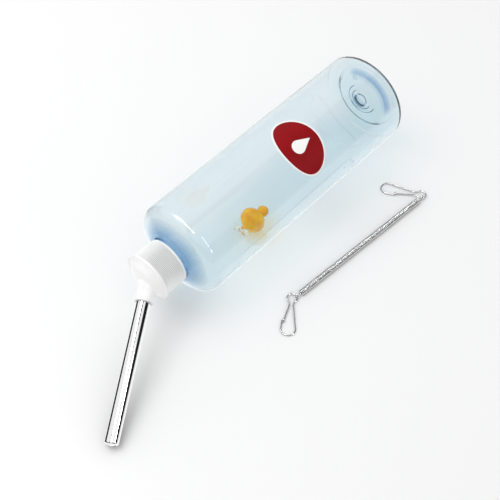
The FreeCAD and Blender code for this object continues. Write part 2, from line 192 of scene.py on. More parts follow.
def wire(name, points, radius, sides=12, smooth_deg=60.0, closed_ends=True):
    """A round wire through a close row of points, in metres, with domed ends unless left open."""
    points = [Vector(p) for p in points]
    count = len(points)
    tangents = []
    for i in range(count):
        tangents.append((points[min(i + 1, count - 1)] - points[max(i - 1, 0)]).normalized())
    side = tangents[0].orthogonal().normalized()
    vertices, faces = [], []
    for i, (point, tangent) in enumerate(zip(points, tangents)):
        side = (side - tangent * side.dot(tangent)).normalized()
        up = tangent.cross(side)
        for k in range(sides):
            a = 2 * math.pi * k / sides
            vertices.append(point + (side * math.cos(a) + up * math.sin(a)) * radius)
    for i in range(count - 1):
        for k in range(sides):
            m = (k + 1) % sides
            faces.append((i * sides + k, i * sides + m, (i + 1) * sides + m, (i + 1) * sides + k))
    if closed_ends:
        ends = ((0, points[0], -tangents[0], 1), (count - 1, points[-1], tangents[-1], -1))
        for ring, centre, tangent, order in ends:
            last = [ring * sides + k for k in range(sides)]
            for out in (0.5, 0.87):
                shrink = math.sqrt(1 - out * out)
                new = []
                for k in range(sides):
                    new.append(len(vertices))
                    spoke = vertices[ring * sides + k] - centre
                    vertices.append(centre + spoke * shrink + tangent * radius * out)
                for k in range(sides):
                    m = (k + 1) % sides
                    face = (last[k], new[k], new[m], last[m])
                    faces.append(face if order > 0 else face[::-1])
                last = new
            tip = len(vertices)
            vertices.append(centre + tangent * radius)
            for k in range(sides):
                m = (k + 1) % sides
                face = (last[k], tip, last[m])
                faces.append(face if order > 0 else face[::-1])
    obj = add_mesh(name, vertices, faces)
    settle(obj, smooth_deg)
    return obj


def smooth_path(points, radius, gap):
    """Points along a polyline whose corners are eased to about the radius, at most a gap apart."""
    points = [Vector(p) for p in points]
    path = [points[0]]
    for a, b, c in zip(points, points[1:], points[2:]):
        u, v = (a - b), (c - b)
        half = u.angle(v) / 2
        reach = min(radius / math.tan(half), u.length * 0.49, v.length * 0.49)
        start, end = b + u.normalized() * reach, b + v.normalized() * reach
        for i in range(7):
            t = i / 6
            path.append(start * (1 - t) ** 2 + b * 2 * t * (1 - t) + end * t**2)
    path.append(points[-1])
    return divided(path, gap)


def divided(path, gap):
    """The path with points added so that none are more than a gap apart."""
    dense = [path[0]]
    for a, b in zip(path, path[1:]):
        pieces = max(1, math.ceil((b - a).length / gap))
        for i in range(1, pieces + 1):
            dense.append(a.lerp(b, i / pieces))
    return dense


# ---------------------------------------------------------------- materials


def material(name):
    made = bpy.data.materials.new(name)
    made.use_nodes = True
    tree = made.node_tree
    shader = tree.nodes["Principled BSDF"]
    return made, tree, shader


def noise(tree, scale, detail=3.0, roughness=0.5, stretch=None):
    """Noise in object coordinates, stretched along an axis if asked."""
    coordinates = tree.nodes.new("ShaderNodeTexCoord")
    texture = tree.nodes.new("ShaderNodeTexNoise")
    texture.inputs["Scale"].default_value = scale
    texture.inputs["Detail"].default_value = detail
    texture.inputs["Roughness"].default_value = roughness
    if stretch is None:
        tree.links.new(coordinates.outputs["Object"], texture.inputs["Vector"])
    else:
        mapping = tree.nodes.new("ShaderNodeMapping")
        mapping.inputs["Rotation"].default_value = stretch[0]
        mapping.inputs["Scale"].default_value = stretch[1]
        tree.links.new(coordinates.outputs["Object"], mapping.inputs["Vector"])
        tree.links.new(mapping.outputs["Vector"], texture.inputs["Vector"])
    return texture


def ramp(tree, source, stops):
    """A colour ramp fed by a value; stops are (position, colour)."""
    node = tree.nodes.new("ShaderNodeValToRGB")
    elements = node.color_ramp.elements
    while len(elements) < len(stops):
        elements.new(0.5)
    for element, (position, colour) in zip(elements, stops):
        element.position = position
        element.color = (*colour, 1.0)
    tree.links.new(source, node.inputs["Fac"])
    return node


def between(tree, source, low, high):
    """A value moved from 0..1 to low..high."""
    node = tree.nodes.new("ShaderNodeMapRange")
    node.inputs["To Min"].default_value = low
    node.inputs["To Max"].default_value = high
    tree.links.new(source, node.inputs["Value"])
    return node.outputs["Result"]


def tinted(tree, attribute, plain, colour):
    """The plain colour, turning to the other one as the mesh's attribute goes from 0 to 1."""
    place = tree.nodes.new("ShaderNodeAttribute")
    place.attribute_name = attribute
    mix = tree.nodes.new("ShaderNodeMix")
    mix.data_type = "RGBA"
    # A Mix node's colour sockets are inputs 6 and 7 and output 2.
    tree.links.new(place.outputs["Fac"], mix.inputs["Factor"])
    tree.links.new(plain, mix.inputs[6])
    mix.inputs[7].default_value = (*colour, 1)
    return mix.outputs[2]


def bump(tree, shader, source, strength, distance):
    node = tree.nodes.new("ShaderNodeBump")
    node.inputs["Strength"].default_value = strength
    node.inputs["Distance"].default_value = distance
    tree.links.new(source, node.inputs["Height"])
    tree.links.new(node.outputs["Normal"], shader.inputs["Normal"])


def clear_shadow(made, colour):
    """Lets lamp and bounced light through a clear piece to what is behind it, tinted."""
    tree = made.node_tree
    shader = tree.nodes["Principled BSDF"]
    output = tree.nodes["Material Output"]
    path = tree.nodes.new("ShaderNodeLightPath")
    through = tree.nodes.new("ShaderNodeBsdfTransparent")
    through.inputs["Color"].default_value = (*colour, 1)
    mix = tree.nodes.new("ShaderNodeMixShader")
    shadow, bounced = path.outputs["Is Shadow Ray"], path.outputs["Is Diffuse Ray"]
    soft = calculated(tree, "MAXIMUM", shadow, bounced)
    tree.links.new(soft, mix.inputs["Fac"])
    tree.links.new(shader.outputs["BSDF"], mix.inputs[1])
    tree.links.new(through.outputs["BSDF"], mix.inputs[2])
    tree.links.new(mix.outputs["Shader"], output.inputs["Surface"])


def absorb(made, colour, density):
    """Colours a clear piece by its thickness."""
    tree = made.node_tree
    volume = tree.nodes.new("ShaderNodeVolumeAbsorption")
    volume.inputs["Color"].default_value = (*colour, 1)
    volume.inputs["Density"].default_value = density
    tree.links.new(volume.outputs["Volume"], tree.nodes["Material Output"].inputs["Volume"])


def clear_blue():
    made, tree, shader = material("clear_blue_plastic")
    shader.inputs["Transmission Weight"].default_value = 1.0
    shader.inputs["IOR"].default_value = 1.5
    flow = noise(tree, 26.0, 2.0, 0.5, ((0, 0, 0), (0.35, 1.0, 1.0)))
    stops = [(0.3, (0.985, 0.99, 0.99)), (0.7, (0.995, 0.997, 0.997))]
    tint = ramp(tree, flow.outputs["Fac"], stops)
    # Painted shade: the colour deepens to a dark blue at the neck, on the recess's rim and round the
    # nub, standing in for how dark the plastic looks there.
    deep = tinted(tree, "painted_blue_shade", tint.outputs["Color"], (0.05, 0.30, 0.66))
    tree.links.new(deep, shader.inputs["Base Color"])
    tree.links.new(between(tree, flow.outputs["Fac"], 0.0, 0.03), shader.inputs["Roughness"])
    bump(tree, shader, flow.outputs["Fac"], 0.12, 0.0006)
    clear_shadow(made, (0.997, 0.997, 0.997))
    absorb(made, (0.12, 0.56, 0.72), 104.0)
    return made


def moulded(name, base, alt, roughness, grain_scale=900.0, bump_strength=0.06):
    """Moulded plastic: slightly uneven colour and gloss with a fine texture."""
    made, tree, shader = material(name)
    cloud = noise(tree, 60.0, 3.0)
    tint = ramp(tree, cloud.outputs["Fac"], [(0.35, base), (0.7, alt)])
    tree.links.new(tint.outputs["Color"], shader.inputs["Base Color"])
    grain = noise(tree, grain_scale, 2.0)
    gloss = between(tree, grain.outputs["Fac"], roughness * 0.8, roughness * 1.25)
    tree.links.new(gloss, shader.inputs["Roughness"])
    bump(tree, shader, grain.outputs["Fac"], bump_strength, 0.0001)
    shader.inputs["IOR"].default_value = 1.49
    return made


def white_cap():
    """White plastic, with painted shade that greys the bottoms of the grooves between the ribs."""
    made = moulded("white_plastic", (0.93, 0.93, 0.925), (0.96, 0.96, 0.955), 0.3)
    tree = made.node_tree
    shader = tree.nodes["Principled BSDF"]
    plain = shader.inputs["Base Color"].links[0].from_socket
    # Painted shade: the bottoms of the grooves are darkened to grey.
    groove_shaded = tinted(tree, "painted_groove_shade", plain, (0.42, 0.42, 0.42))
    tree.links.new(groove_shaded, shader.inputs["Base Color"])
    shader.inputs["Subsurface Weight"].default_value = 0.05
    shader.inputs["Subsurface Radius"].default_value = (0.002, 0.002, 0.002)
    return made


def polished(name, light, dark, roughness, stretch, scale):
    """Polished metal with faint uneven lines, of greys between light and dark."""
    made, tree, shader = material(name)
    shader.inputs["Metallic"].default_value = 1.0
    lines = noise(tree, scale, 4.0, 0.6, stretch)
    tint = ramp(tree, lines.outputs["Fac"], [(0.25, (dark,) * 3), (0.75, (light,) * 3)])
    tree.links.new(tint.outputs["Color"], shader.inputs["Base Color"])
    gloss = between(tree, lines.outputs["Fac"], roughness * 0.6, roughness * 1.5)
    tree.links.new(gloss, shader.inputs["Roughness"])
    bump(tree, shader, lines.outputs["Fac"], 0.03, 0.00005)
    return made


def amber():
    made, tree, shader = material("amber_plastic")
    cloud = noise(tree, 180.0, 2.0)
    tint = ramp(tree, cloud.outputs["Fac"], [(0.3, (0.86, 0.36, 0.0)), (0.7, (1.0, 0.60, 0.0))])
    tree.links.new(tint.outputs["Color"], shader.inputs["Base Color"])
    tree.links.new(between(tree, cloud.outputs["Fac"], 0.05, 0.12), shader.inputs["Roughness"])
    shader.inputs["Transmission Weight"].default_value = 0.3
    shader.inputs["Specular IOR Level"].default_value = 0.12
    shader.inputs["IOR"].default_value = 1.49
    clear_shadow(made, (0.99, 0.78, 0.25))
    return made


def clear_foot():
    made, tree, shader = material("clear_plastic")
    cloud = noise(tree, 300.0, 2.0)
    tint = ramp(tree, cloud.outputs["Fac"], [(0.3, (0.96, 0.95, 0.88)), (0.7, (1.0, 0.99, 0.95))])
    tree.links.new(tint.outputs["Color"], shader.inputs["Base Color"])
    tree.links.new(between(tree, cloud.outputs["Fac"], 0.01, 0.05), shader.inputs["Roughness"])
    shader.inputs["Transmission Weight"].default_value = 1.0
    shader.inputs["IOR"].default_value = 1.49
    clear_shadow(made, (0.95, 0.94, 0.88))
    return made


def film(name, base, alt, roughness):
    """A printed film with little shine."""
    made = moulded(name, base, alt, roughness, 1500.0, 0.03)
    made.node_tree.nodes["Principled BSDF"].inputs["Specular IOR Level"].default_value = 0.12
    return made


def floor_material():
    made, tree, shader = material("studio_floor")
    cloud = noise(tree, 3.0, 2.0)
    stops = [(0.3, (0.905, 0.905, 0.905)), (0.7, (0.915, 0.915, 0.915))]
    tint = ramp(tree, cloud.outputs["Fac"], stops)
    tree.links.new(tint.outputs["Color"], shader.inputs["Base Color"])
    tree.links.new(between(tree, cloud.outputs["Fac"], 0.32, 0.36), shader.inputs["Roughness"])
    shader.inputs["Specular IOR Level"].default_value = 0.25
    return made


def spout_direction():
    axis = RECORD_JOINTS["tip_ball_push"]["axis"]
    return -Vector(axis).normalized()


SPOUT = spout_direction()
ELBOW = Vector((-5.0, 0, 0))


def spout_matrix():
    """Carries +X in millimetres from the elbow along the spout."""
    turn = Vector((1, 0, 0)).rotation_difference(SPOUT)
    return Matrix.Translation(ORIGIN + ELBOW * MM) @ turn.to_matrix().to_4x4()


def paint(obj, made):
    obj.data.materials.clear()
    obj.data.materials.append(made)


# ---------------------------------------------------------------- bottle


def bottle_outline():
    """The bottle's outer profile from the rim to the middle of the base."""
    shoulder_slope = 0.36
    corner_x = 13.9 + shoulder_slope * (BODY_R - NECK_R)
    return rounded(
        [
            (-4.0, 13.2, 0),
            (-4.0, NECK_R, 0.5),
            (12.9, NECK_R, 0.6),
            (13.9, 16.6, 0.8),
            (15.3, 17.4, 0.6),
            (16.0, 20.0, 3.0),
            (corner_x, BODY_R, 8.25),
            (BASE_X, BODY_R, 4.7),
            (BASE_X, 26.0, 1.1),
            (BASE_X - 2.7, 22.4, 0.5),
            (BASE_X - 3.3, 16.0, 12.0),
            (BASE_X - 4.0, 12.2, 0.6),
            (BASE_X - 4.6, 11.6, 0.6),
            (BASE_X - 5.0, 8.6, 0.6),
            (BASE_X - 5.5, 8.0, 0.6),
            (BASE_X - 5.6, 5.4, 0.5),
            (BASE_X - 4.5, 4.6, 0.4),
            (BASE_X - 4.5, 0, 0),
        ],
        8,
    )


def bottle_inside():
    """The inner profile. The blown wall is thickest at the neck and in the base."""
    return rounded(
        [
            (BASE_X - 6.6, 0, 0),
            (BASE_X - 6.6, 4.4, 0.5),
            (BASE_X - 7.9, 5.6, 1.0),
            (BASE_X - 7.7, 10.0, 4.0),
            (BASE_X - 5.9, 16.0, 12.0),
            (BASE_X - 5.2, 22.0, 0.9),
            (BASE_X - 2.1, 26.6, 1.2),
            (BASE_X - 1.3, BODY_R - WALL, 3.6),
            (21.96, BODY_R - WALL, 7.3),
            (17.6, 16.4, 2.0),
            (14.6, NECK_R - NECK_WALL, 2.5),
            (-4.0, NECK_R - NECK_WALL, 0.3),
            (-4.0, 13.2, 0),
        ],
        8,
    )


def clamped(value):
    return max(0.0, min(1.0, value))


def painted_blue_shade_at(x, y, z):
    """How much painted shade, a deeper blue, goes on a place on the bottle, from 0 to 1."""
    r = math.hypot(y, z)
    if x < BASE_X - 9 or r < 1.0:
        return 0.62 * clamped((20.0 - x) / 2.5) * clamped((x - 9.0) / 2.0)
    # Painted shade: the rim's dark blue goes only on its upper side and the nub's only on its lower
    # side.
    upward = (0.895 * z - 0.446 * y) / r
    rim = clamped(1.0 - abs(r - 22.8) / 1.3) * clamped((upward - 0.3) / 0.3)
    nub = 0.8 * clamped(1.0 - abs(r - 5.2) / 1.4) * clamped((0.1 - upward) / 0.4)
    return max(rim, nub)


def build_bottle():
    profile = bottle_outline() + bottle_inside()
    bottle = turned("bottle_blown_shell", profile, 160, smooth_deg=40)
    # Painted shade: each point holds how much dark blue is painted on it.
    painted_blue_shade = bottle.data.attributes.new("painted_blue_shade", "FLOAT", "POINT")
    for vertex, value in zip(bottle.data.vertices, painted_blue_shade.data):
        value.value = painted_blue_shade_at(*((vertex.co - ORIGIN) / MM))
    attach(bottle, "bottle")
    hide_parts("bottle_shell")
    paint(bottle, clear_blue())


def mould_mark():
    """The small raised ring left by the mould in the base's recess."""
    a, out, ring_r = math.radians(30.0), 18.3, 1.6
    at = Vector((BASE_X - 4.05, out * math.sin(a), out * math.cos(a)))
    ring = []
    for i in range(41):
        t = 2 * math.pi * i / 40
        ring.append(ORIGIN + (at + Vector((0, math.cos(t), math.sin(t))) * ring_r) * MM)
    mark = wire("mould_mark", ring, 0.00045, 10, closed_ends=False)
    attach(mark, "bottle")
    paint(mark, bpy.data.materials["clear_blue_plastic"])


def thread():
    """The neck's raised thread."""
    points = []
    turns, pitch, steps, ridge_r = 1.5, 3.5, 48, 14.05
    for i in range(int(turns * steps) + 1):
        t = i / steps
        a = 2 * math.pi * t
        x = -2.4 + pitch * t
        points.append(ORIGIN + Vector((x, ridge_r * math.sin(a), -ridge_r * math.cos(a))) * MM)
    ridge = wire("neck_thread", points, 0.00055, 10)
    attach(ridge, "bottle")
    paint(ridge, bpy.data.materials["clear_blue_plastic"])


# ---------------------------------------------------------------- label


def on_side(u, v, radius):
    """A point of the label: u along the bottle and v round it, both from the label's middle."""
    a = LABEL_SIDE - v / BODY_R
    return ORIGIN + Vector((LABEL_X + u, -radius * math.sin(a), radius * math.cos(a))) * MM


def label_v(y):
    """Distance round the bottle of a point y across the label as seen square on."""
    return BODY_R * math.asin(max(-1, min(1, y / BODY_R)))


def oval_points(half_x, half_y, count):
    outline = []
    for i in range(count):
        a = 2 * math.pi * i / count
        outline.append((half_x * math.cos(a), half_y * math.sin(a)))
    return outline


def part_way(start, end, i, count):
    """The point i of count equal steps from one point of an outline to another."""
    return tuple(a + (b - a) * i / count for a, b in zip(start, end))


def drop_points(radius, reach, count):
    """A water drop: round at the neck's side, pointed to the base."""
    centre, along_side = -2.4, 12
    outline = []
    half = math.acos(radius / reach)
    for i in range(count):
        a = half + (2 * math.pi - 2 * half) * i / (count - 1)
        outline.append((centre + radius * math.cos(a), radius * math.sin(a)))
    first, last, tip = outline[0], outline[-1], (centre + reach, 0.0)
    for i in range(1, along_side):
        outline.append(part_way(last, tip, i, along_side))
    for i in range(along_side):
        outline.append(part_way(tip, first, i, along_side))
    return outline


def patch(name, outline, inner_r, thickness, rings=12):
    """A thin curved patch on the bottle's side, filled from its middle outwards."""
    count = len(outline)
    centre_u = sum(p[0] for p in outline) / count
    centre_v = sum(p[1] for p in outline) / count
    vertices, faces = [], []
    for radius in (inner_r, inner_r + thickness):
        vertices.append(on_side(centre_u, label_v(centre_v), radius))
        for k in range(1, rings + 1):
            for u, v in outline:
                here_u = centre_u + (u - centre_u) * k / rings
                here_v = centre_v + (v - centre_v) * k / rings
                vertices.append(on_side(here_u, label_v(here_v), radius))
    layer = 1 + rings * count
    for base in (0, layer):
        for i in range(count):
            j = (i + 1) % count
            faces.append((base, base + 1 + i, base + 1 + j))
            for k in range(rings - 1):
                a, b = base + 1 + k * count, base + 1 + (k + 1) * count
                faces.append((a + i, b + i, b + j, a + j))
    rim = 1 + (rings - 1) * count
    for i in range(count):
        j = (i + 1) % count
        faces.append((rim + i, rim + j, layer + rim + j, layer + rim + i))
    obj = add_mesh(name, vertices, faces)
    settle(obj, 30)
    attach(obj, "bottle")
    return obj


def build_label():
    backing = patch("label_backing", oval_points(*LABEL_HALF, 96), BODY_R + 0.01, 0.12)
    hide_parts("label_film")
    paint(backing, film("label_white", (0.9, 0.9, 0.89), (0.93, 0.93, 0.92), 0.38))
    inside = oval_points(LABEL_HALF[0] - LABEL_BORDER, LABEL_HALF[1] - LABEL_BORDER, 96)
    red = patch("label_red_field", inside, BODY_R + 0.14, 0.04)
    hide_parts("label_print")
    paint(red, film("label_red", (0.25, 0.0005, 0.003), (0.30, 0.001, 0.005), 0.42))
    drop = patch("label_drop", drop_points(5.2, 12.0, 60), BODY_R + 0.185, 0.03)
    paint(drop, bpy.data.materials["label_white"])


# ---------------------------------------------------------------- cap, tube and balls


def build_washer():
    near, far, hole_r, rim_r = -5.55, -4.05, 5.2, 14.6
    corners = [(near, hole_r, 0), (far, hole_r, 0.2), (far, rim_r, 0.3), (near, rim_r, 0.3)]
    corners.append(corners[0])
    washer = turned("washer_ring", rounded(corners, 4), 96)
    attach(washer, "washer")
    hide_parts("sealing_washer")
    rubber = moulded("washer_rubber", (0.74, 0.73, 0.70), (0.80, 0.79, 0.76), 0.7)
    paint(washer, rubber)


def cap_skirt():
    """The drum with its fine ribs, the flange at its closed end and the plain band at its open edge."""
    ribs, per_rib, deep_rib = 112, 8, 0.4
    count = ribs * per_rib
    # Each row is its x, its radius and how far the ribs stand out there.
    rows = [
        (-5.9, 16.9, 0.0),
        (-5.75, 17.0, 0.0),
        (-5.3, 17.02, 0.25),
        (-4.7, 16.7, 0.77),
        (11.2, 16.7, 0.77),
        (11.7, 17.05, 0.3),
        (12.0, 17.4, 0.05),
        (12.5, 17.45, 0.0),
        (12.95, 17.25, 0.0),
        (13.2, 16.8, 0.0),
        (13.2, 15.6, 0.0),
        (12.9, 15.3, 0.0),
        (-5.6, 15.25, 0.0),
        (-5.6, 3.4, 0.0),
        (-6.6, 3.4, 0.0),
        (-7.3, 3.6, 0.0),
        (-7.3, 17.9, 0.0),
        (-7.6, 18.1, 0.0),
        (-7.55, 18.4, 0.0),
        (-7.2, 18.58, 0.0),
        (-6.3, 18.6, 0.0),
        (-5.95, 18.42, 0.0),
        (-5.82, 18.1, 0.0),
        (-5.85, 17.2, 0.0),
    ]
    vertices, faces = [], []
    for x, radius, rib in rows:
        for i in range(count):
            a = 2 * math.pi * i / count
            wave = 0.5 + 0.5 * math.cos(2 * math.pi * (i % per_rib) / per_rib)
            r = radius + rib * wave**0.7
            vertices.append(ORIGIN + Vector((x, r * math.cos(a), r * math.sin(a))) * MM)
    for row in range(len(rows)):
        after = (row + 1) % len(rows)
        for i in range(count):
            j = (i + 1) % count
            faces.append((row * count + i, row * count + j, after * count + j, after * count + i))
    skirt = add_mesh("cap_skirt", vertices, faces)
    # Painted shade: how grey each groove's bottom is painted, strongest where the ribs stand out fully.
    painted_groove_shade = skirt.data.attributes.new("painted_groove_shade", "FLOAT", "POINT")
    for index, value in enumerate(painted_groove_shade.data):
        rib = rows[index // count][2]
        low = 0.5 - 0.5 * math.cos(2 * math.pi * (index % per_rib) / per_rib)
        value.value = low**3 * min(1.0, rib / deep_rib)
    settle(skirt, 40)
    return skirt


def cap_spout():
    """The domed top and the angled spout, blended into one another, with a collar at the spout's end."""
    domed = [
        (-7.0, 0, 0),
        (-7.0, 16.2, 0),
        (-7.6, 16.2, 0),
        (-8.3, 14.6, 1.5),
        (-11.4, 11.0, 6.0),
        (-14.2, 5.0, 4.0),
        (-14.2, 0, 0),
    ]
    dome = turned("cap_dome", rounded(domed, 8), 96)
    # The spout's own profile runs from the elbow.
    tapered = [
        (2.0, 0, 0),
        (2.0, 8.6, 0),
        (7.0, 8.6, 2.0),
        (13.5, 6.75, 8.0),
        (17.3, 6.4, 0.4),
        (17.4, 6.9, 0.3),
        (19.6, 6.9, 0.5),
        (19.6, 4.78, 0),
    ]
    mouth = [Vector((17.0, 4.78)), Vector((17.0, 0))]
    stem = turned("cap_stem", rounded(tapered, 6) + mouth, 96, spout_matrix())
    join = dome.modifiers.new("join", "BOOLEAN")
    join.operation = "UNION"
    join.solver = "EXACT"
    join.object = stem
    blend = dome.modifiers.new("blend", "REMESH")
    blend.mode = "VOXEL"
    blend.voxel_size = 0.00032
    blend.use_smooth_shade = True
    soften = dome.modifiers.new("soften", "SMOOTH")
    soften.factor = 0.5
    soften.iterations = 14
    graph = bpy.context.evaluated_depsgraph_get()
    mesh = bpy.data.meshes.new_from_object(dome.evaluated_get(graph))
    dome.modifiers.clear()
    dome.data = mesh
    bpy.data.objects.remove(stem)
    shade(dome, 60)
    return dome


def build_cap():
    white = white_cap()
    skirt = cap_skirt()
    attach(skirt, "cap")
    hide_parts("screw_cap")
    paint(skirt, white)
    spout = cap_spout()
    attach(spout, "cap")
    paint(spout, white)


def tube_reach():
    """From the elbow to the start of the tube's rolled tip."""
    return (BODY_R - TUBE_R * math.sqrt(1 - SPOUT.z**2)) / -SPOUT.z


def along_axis(axis):
    """The rotation that lays an axis along X, for a texture stretched along it."""
    return tuple(Vector((1, 0, 0)).rotation_difference(axis).inverted().to_euler())


def build_tube():
    start = tube_reach()
    tip, bore_r = start + TUBE_ROLL, TUBE_R - TUBE_WALL
    outside = [
        (TUBE_FROM, TUBE_SEAT_R, 0),
        (TUBE_FROM, TUBE_R, 0),
        (tip, TUBE_R, TUBE_ROLL),
        (tip, TUBE_HOLE_R + 0.25, 0.25),
        (tip - 0.5, TUBE_HOLE_R, 0.2),
    ]
    inside = [Vector((tip - TUBE_WALL, TUBE_HOLE_R + 0.2)), Vector((start + 0.4, bore_r - 0.25))]
    inside += [Vector((start, bore_r)), Vector((TUBE_FROM, bore_r)), Vector((TUBE_FROM, TUBE_SEAT_R))]
    tube = turned("tube_polished", rounded(outside, 8) + inside, 96, spout_matrix())
    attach(tube, "cap")
    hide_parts("drink_tube")
    stretch = (along_axis(SPOUT), (0.04, 1, 1))
    steel = polished("tube_steel", 0.86, 0.80, 0.07, stretch, 1500.0)
    paint(tube, steel)


def build_balls():
    steel = polished("ball_steel", 0.88, 0.80, 0.06, ((0, 0, 0), (1, 1, 1)), 400.0)
    for name in ("tip_ball", "upper_ball"):
        low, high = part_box(name)
        work = bmesh.new()
        bmesh.ops.create_icosphere(work, subdivisions=5, radius=(high.x - low.x) / 2)
        mesh = bpy.data.meshes.new(name + "_bearing")
        work.to_mesh(mesh)
        work.free()
        mesh.transform(Matrix.Translation((low + high) / 2))
        ball = bpy.data.objects.new(name + "_bearing", mesh)
        bpy.context.scene.collection.objects.link(ball)
        shade(ball, 60)
        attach(ball, name)
        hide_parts(name)
        paint(ball, steel)


# ---------------------------------------------------------------- float


def float_matrix():
    """The float's frame: +X along the bottle, its middle on the float body's middle."""
    low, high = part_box("float_body")
    return Matrix.Translation((low + high) / 2)


def float_profile():
    """The stem's rounded end, the body with its moulding seam, and the head."""
    profile = []
    for i in range(7):
        a = math.pi / 2 * i / 6
        profile.append(Vector((-12.4 + 0.8 * (1 - math.cos(a)), 1.35 * math.sin(a))))
    profile += [Vector((-9.6, 1.4)), Vector((-8.5, 1.65)), Vector((-7.9, 2.3))]
    for i in range(4, 31):
        a = math.pi * i / 34
        seam = 0.12 if i == 17 else 0.0
        profile.append(Vector((-FLOAT_BODY[0] * math.cos(a), FLOAT_BODY[1] * math.sin(a) + seam)))
    for i in range(8, 41):
        a = math.pi * i / 40
        x, r = FLOAT_HEAD_AT - FLOAT_HEAD_R * math.cos(a), FLOAT_HEAD_R * math.sin(a)
        if x > profile[-1].x + 0.15:
            profile.append(Vector((x, max(r, 0))))
    return profile


def build_float():
    duck = turned("float_moulding", float_profile(), 72, float_matrix(), 50)
    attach(duck, "float")
    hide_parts("float_body", "float_head", "float_stem")
    paint(duck, amber())
    foot = float_foot()
    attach(foot, "float")
    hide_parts("float_foot")
    paint(foot, clear_foot())


def float_foot():
    """The clear twin-lobed foot: two rounded lobes joined by a bar."""
    low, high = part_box("float_foot")
    tilt = math.radians(FOOT_TILT)
    across = Vector((0, math.cos(tilt), math.sin(tilt)))
    profile = []
    for i in range(49):
        t = -FOOT_REACH + 2 * FOOT_REACH * i / 48
        off = abs(abs(t) - FOOT_LOBE_AT)
        r = math.sqrt(max(FOOT_LOBE_R**2 - off**2, 0.0))
        profile.append(Vector((t, max(r, FOOT_BAR_R) if abs(t) < FOOT_LOBE_AT else r)))
    profile[0].y = profile[-1].y = 0.0
    turn = Vector((1, 0, 0)).rotation_difference(across)
    place = Matrix.Translation((low + high) / 2) @ turn.to_matrix().to_4x4()
    return turned("float_foot_clear", profile, 48, place, 60)


# ---------------------------------------------------------------- wire holder


def coil_direction():
    return Vector(RECORD_JOINTS["spring_stretch"]["axis"]).normalized()


COIL_DIR = coil_direction()
COIL_SIDE = Vector((0, 0, 1)).cross(COIL_DIR)


def coil_ends():
    """Start and end of the close-wound coil, on its axis."""
    low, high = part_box("spring_coil")
    middle = (low + high) / 2
    half = COIL_LENGTH * MM / 2
    return middle - COIL_DIR * half, middle + COIL_DIR * half


def build_coil(steel):
    """The close-wound coil, a hair thinner than its pitch so that its turns stay apart."""
    per_turn = 16
    start, end = coil_ends()
    mean = (COIL_R - COIL_WIRE_R) * MM
    length = (end - start).length - 2 * COIL_WIRE_R * MM
    turns = round(length / (2 * COIL_WIRE_R * MM))
    steps = turns * per_turn
    points = []
    for i in range(steps + 1):
        a = 2 * math.pi * i / per_turn
        at = start + COIL_DIR * (COIL_WIRE_R * MM + length * i / steps)
        sideways = COIL_SIDE * (mean * math.sin(a))
        points.append(at + sideways + Vector((0, 0, mean * math.cos(a))))
    coil = wire("spring_winding", points, COIL_WIRE_R * MM * 0.98, 8, 80)
    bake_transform(coil)
    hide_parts("spring_coil")
    paint(coil, steel)
    hook(start, -1.0, "left", "holder", steel)
    hook(end, 1.0, "right", "spring_end", steel)


def hook(at, way, side, body, steel):
    """The spring's end: the wire leaves the coil's top and closes into an upright ring."""
    mean = (COIL_R - COIL_WIRE_R) * MM
    along = COIL_DIR * way
    centre = at + along * (RING_AT * MM)
    points = [at + along * 0.00005 + Vector((0, 0, mean))]
    for i in range(57):
        a = math.radians(135 - 340 * i / 56)
        points.append(centre + along * (mean * math.cos(a)) + Vector((0, 0, mean * math.sin(a))))
    bend = smooth_path(points[:3], 0.0004, 0.0002)
    ring = wire(side + "_spring_ring", bend[:-1] + points[2:], COIL_WIRE_R * MM)
    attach(ring, body)
    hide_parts(side + "_spring_hook")
    paint(ring, steel)


def clip_matrix(side):
    """A clip's own frame: the eye's centre at the origin, +X to the loop's end, the gate on -Y."""
    joint = RECORD_JOINTS[side + "_clip_swing"]
    up = Vector(joint["axis"]).normalized()
    heading, hand = CLIP_HEADINGS[side]
    along = Vector((math.cos(math.radians(heading)), math.sin(math.radians(heading)), 0))
    along = (along - up * along.dot(up)).normalized()
    across = up.cross(along) * -hand
    turn = Matrix((along, across, up)).transposed().to_4x4()
    return Matrix.Translation(Vector(joint["pos_m"])) @ turn


def gate_line(x):
    """How far the gate is from the clip's middle line at x."""
    rise, run = GATE_TIP[1] - NECK_AT[1], GATE_TIP[0] - NECK_AT[0]
    return NECK_AT[1] + rise * (x - NECK_AT[0]) / run


def circle_points(centre, radius, start, end):
    """Points about 6 degrees apart on an arc in the clip's own plane."""
    count = max(2, math.ceil(abs(end - start) / 6.0))
    points = []
    for i in range(count + 1):
        a = math.radians(start + (end - start) * i / count)
        points.append(Vector((centre[0] + radius * math.cos(a), centre[1] + radius * math.sin(a), 0)))
    return points


def clip_frame_points():
    """The clip's bent wire in its own frame, in millimetres, gate side at -Y."""
    neck = Vector((*NECK_AT, 0))
    to_loop = Vector((LOOP_AT, 0, 0)) - neck
    heading = math.degrees(math.atan2(to_loop.y, to_loop.x) + math.asin(LOOP_R / to_loop.length))
    opening = 35.0
    catch_y = -gate_line(CATCH_AT)
    points = []
    for i in range(13):
        a = math.radians(60 + 120 * i / 12)
        points.append(Vector((CATCH_AT, catch_y + CATCH_R * math.cos(a), CATCH_R * math.sin(a))))
    points.append(Vector((CATCH_AT + 0.6, catch_y - CATCH_R, 0)))
    points += circle_points((LOOP_AT, 0), LOOP_R, -90, heading + 90)
    eye_start = Vector((math.cos(math.radians(opening)), math.sin(math.radians(opening)), 0)) * EYE_R
    points += [neck.lerp(points[-1], 0.06), neck, neck.lerp(eye_start, 0.3)]
    points += circle_points((0, 0), EYE_R, opening, 360 - opening)
    leaves = points[-1]
    end = Vector((NECK_AT[0], -NECK_AT[1], 0))
    short = end - leaves
    points.append(leaves + short * (1 - (CLIP_WIRE_R * 2 + 0.1) / short.length))
    return points


